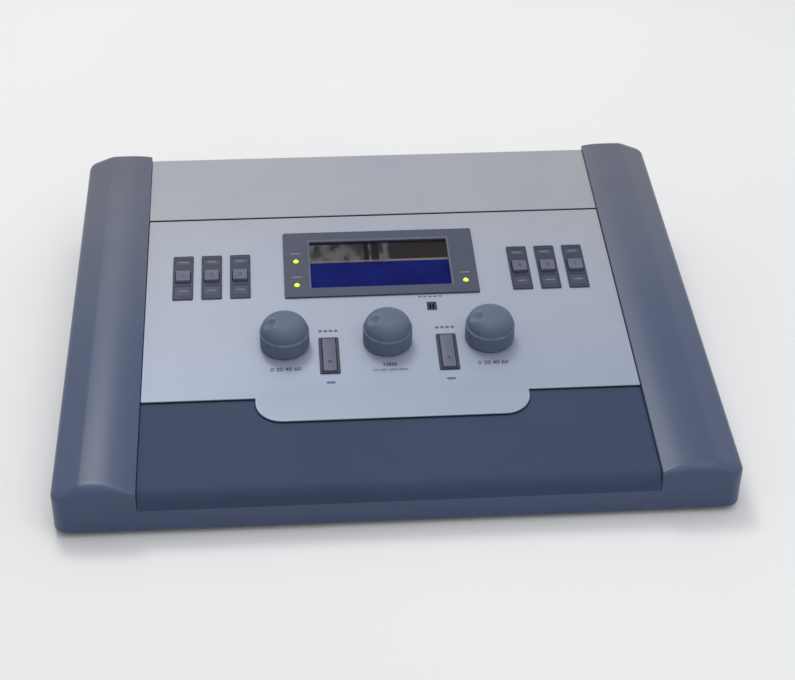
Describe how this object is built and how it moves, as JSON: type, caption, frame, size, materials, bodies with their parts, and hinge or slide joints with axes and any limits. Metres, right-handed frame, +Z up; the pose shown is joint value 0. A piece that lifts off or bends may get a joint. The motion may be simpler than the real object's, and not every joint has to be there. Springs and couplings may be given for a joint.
{
  "type": "audiometer",
  "caption": "Desktop audiometer console with a sloping control panel, display, turning knobs, sprung push keys and bar keys, and rear sockets.",
  "frame": {"origin": "on the ground, under the middle of the console's footprint", "axes": "+X to the user's right, +Y to the rear where the sockets are, +Z up"},
  "size_m": [0.3698, 0.295, 0.0648],
  "materials": {
    "dark_shell": "fine textured moulding",
    "light_shell": "fine textured moulding, slight metallic tint",
    "dark_trim": "satin printed surround",
    "key_cap": "satin",
    "knob": "satin",
    "clear_window": "clear acrylic",
    "lcd": "blue negative display",
    "light": "lit green diode",
    "rubber": "matte",
    "steel": "zinc plated",
    "nickel": "nickel plated",
    "black_part": "moulded",
    "board": "solder mask",
    "cable": "flat cable"
  },
  "bodies": {
    "console": {"bottom_case": "dark_shell", "feet": "rubber", "left_cheek": "dark_shell", "right_cheek": "dark_shell", "front_strip": "dark_shell", "control_panel": "light_shell", "rear_strip": "light_shell", "rear_panel": "dark_trim", "display_bezel": "dark_trim", "display_window": "clear_window", "lcd_frame": "steel", "lcd_cell": "lcd", "display_board": "board", "status_lights": "light", "key_frame_1": "dark_trim", "key_frame_2": "dark_trim", "key_frame_3": "dark_trim", "key_frame_4": "dark_trim", "key_frame_5": "dark_trim", "key_frame_6": "dark_trim", "left_key_board": "board", "right_key_board": "board", "key_switches": "black_part", "left_bar_frame": "dark_trim", "right_bar_frame": "dark_trim", "bar_pins": "steel", "left_encoder": "steel", "centre_encoder": "steel", "right_encoder": "steel", "encoder_nuts": "steel", "knob_board": "board", "mic_cover": "black_part", "mic_capsule": "steel", "main_board": "board", "left_phone_jack": "black_part", "right_phone_jack": "black_part", "bone_jack": "black_part", "response_jack": "black_part", "jack_nuts": "nickel", "power_inlet": "black_part", "power_switch_frame": "black_part", "ribbon_cables": "cable", "case_screws": "steel", "short_screws": "steel"},
    "push_key_1": {"key_1": "key_cap"},
    "push_key_2": {"key_2": "key_cap"},
    "push_key_3": {"key_3": "key_cap"},
    "push_key_4": {"key_4": "key_cap"},
    "push_key_5": {"key_5": "key_cap"},
    "push_key_6": {"key_6": "key_cap"},
    "left_dial": {"left_knob": "knob", "left_shaft": "steel"},
    "centre_dial": {"centre_knob": "knob", "centre_shaft": "steel"},
    "right_dial": {"right_knob": "knob", "right_shaft": "steel"},
    "left_bar_key": {"left_bar": "key_cap"},
    "right_bar_key": {"right_bar": "key_cap"},
    "power_key": {"power_rocker": "key_cap"}
  },
  "joints": [
    {"name": "press_key_1", "type": "slide", "parent": "console", "child": "push_key_1", "axis": [0, 0.1112, -0.9938], "range_m": [0, 0.0012], "stiffness_N_per_m": 400, "springref_m": -0.001},
    {"name": "press_key_2", "type": "slide", "parent": "console", "child": "push_key_2", "axis": [0, 0.1112, -0.9938], "range_m": [0, 0.0012], "stiffness_N_per_m": 400, "springref_m": -0.001},
    {"name": "press_key_3", "type": "slide", "parent": "console", "child": "push_key_3", "axis": [0, 0.1112, -0.9938], "range_m": [0, 0.0012], "stiffness_N_per_m": 400, "springref_m": -0.001},
    {"name": "press_key_4", "type": "slide", "parent": "console", "child": "push_key_4", "axis": [0, 0.1112, -0.9938], "range_m": [0, 0.0012], "stiffness_N_per_m": 400, "springref_m": -0.001},
    {"name": "press_key_5", "type": "slide", "parent": "console", "child": "push_key_5", "axis": [0, 0.1112, -0.9938], "range_m": [0, 0.0012], "stiffness_N_per_m": 400, "springref_m": -0.001},
    {"name": "press_key_6", "type": "slide", "parent": "console", "child": "push_key_6", "axis": [0, 0.1112, -0.9938], "range_m": [0, 0.0012], "stiffness_N_per_m": 400, "springref_m": -0.001},
    {"name": "turn_left_knob", "type": "hinge", "parent": "console", "child": "left_dial", "pos_m": [-0.059, -0.03397, 0.0407], "axis": [0, -0.1112, 0.9938], "continuous": true},
    {"name": "turn_centre_knob", "type": "hinge", "parent": "console", "child": "centre_dial", "pos_m": [0, -0.03397, 0.0407], "axis": [0, -0.1112, 0.9938], "continuous": true},
    {"name": "turn_right_knob", "type": "hinge", "parent": "console", "child": "right_dial", "pos_m": [0.059, -0.03397, 0.0407], "axis": [0, -0.1112, 0.9938], "continuous": true},
    {"name": "press_left_bar", "type": "hinge", "parent": "console", "child": "left_bar_key", "pos_m": [-0.0339, -0.03318, 0.03817], "axis": [1, 0, 0], "range_deg": [0, 3], "stiffness_Nm_per_rad": 0.3, "springref_deg": -2.86},
    {"name": "press_right_bar", "type": "hinge", "parent": "console", "child": "right_bar_key", "pos_m": [0.0339, -0.03318, 0.03817], "axis": [1, 0, 0], "range_deg": [0, 3], "stiffness_Nm_per_rad": 0.3, "springref_deg": -2.86},
    {"name": "power_rock", "type": "hinge", "parent": "console", "child": "power_key", "pos_m": [0.105, 0.14, 0.03692], "axis": [1, 0, 0], "range_deg": [0, 20]}
  ]
}
